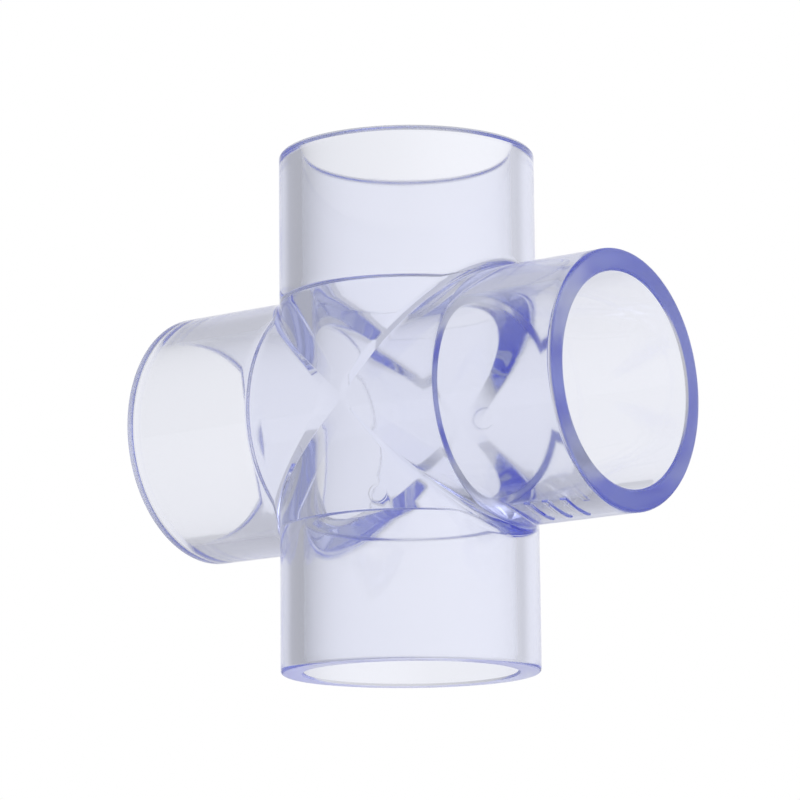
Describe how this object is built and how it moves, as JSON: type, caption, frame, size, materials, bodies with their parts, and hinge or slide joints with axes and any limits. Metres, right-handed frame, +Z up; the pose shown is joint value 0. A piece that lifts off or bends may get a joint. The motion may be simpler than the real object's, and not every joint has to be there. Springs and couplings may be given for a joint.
{
  "type": "cross pipe fitting",
  "caption": "Clear violet-tinted plastic cross pipe fitting with equal plain sockets in one plane, meeting at a hollow centre with pipe-stop shoulders.",
  "frame": {"origin": "centre of the fitting, where the axes of the upright and the level waterway cross", "axes": "+Z up through the top socket, +X through the right socket, Y normal to the plane of the sockets"},
  "size_m": [0.08, 0.0392, 0.08],
  "materials": {
    "clear_pvc": "clear, polished, faint violet-blue tint"
  },
  "bodies": {
    "root": {"cross_body": "clear_pvc"}
  },
  "joints": []
}
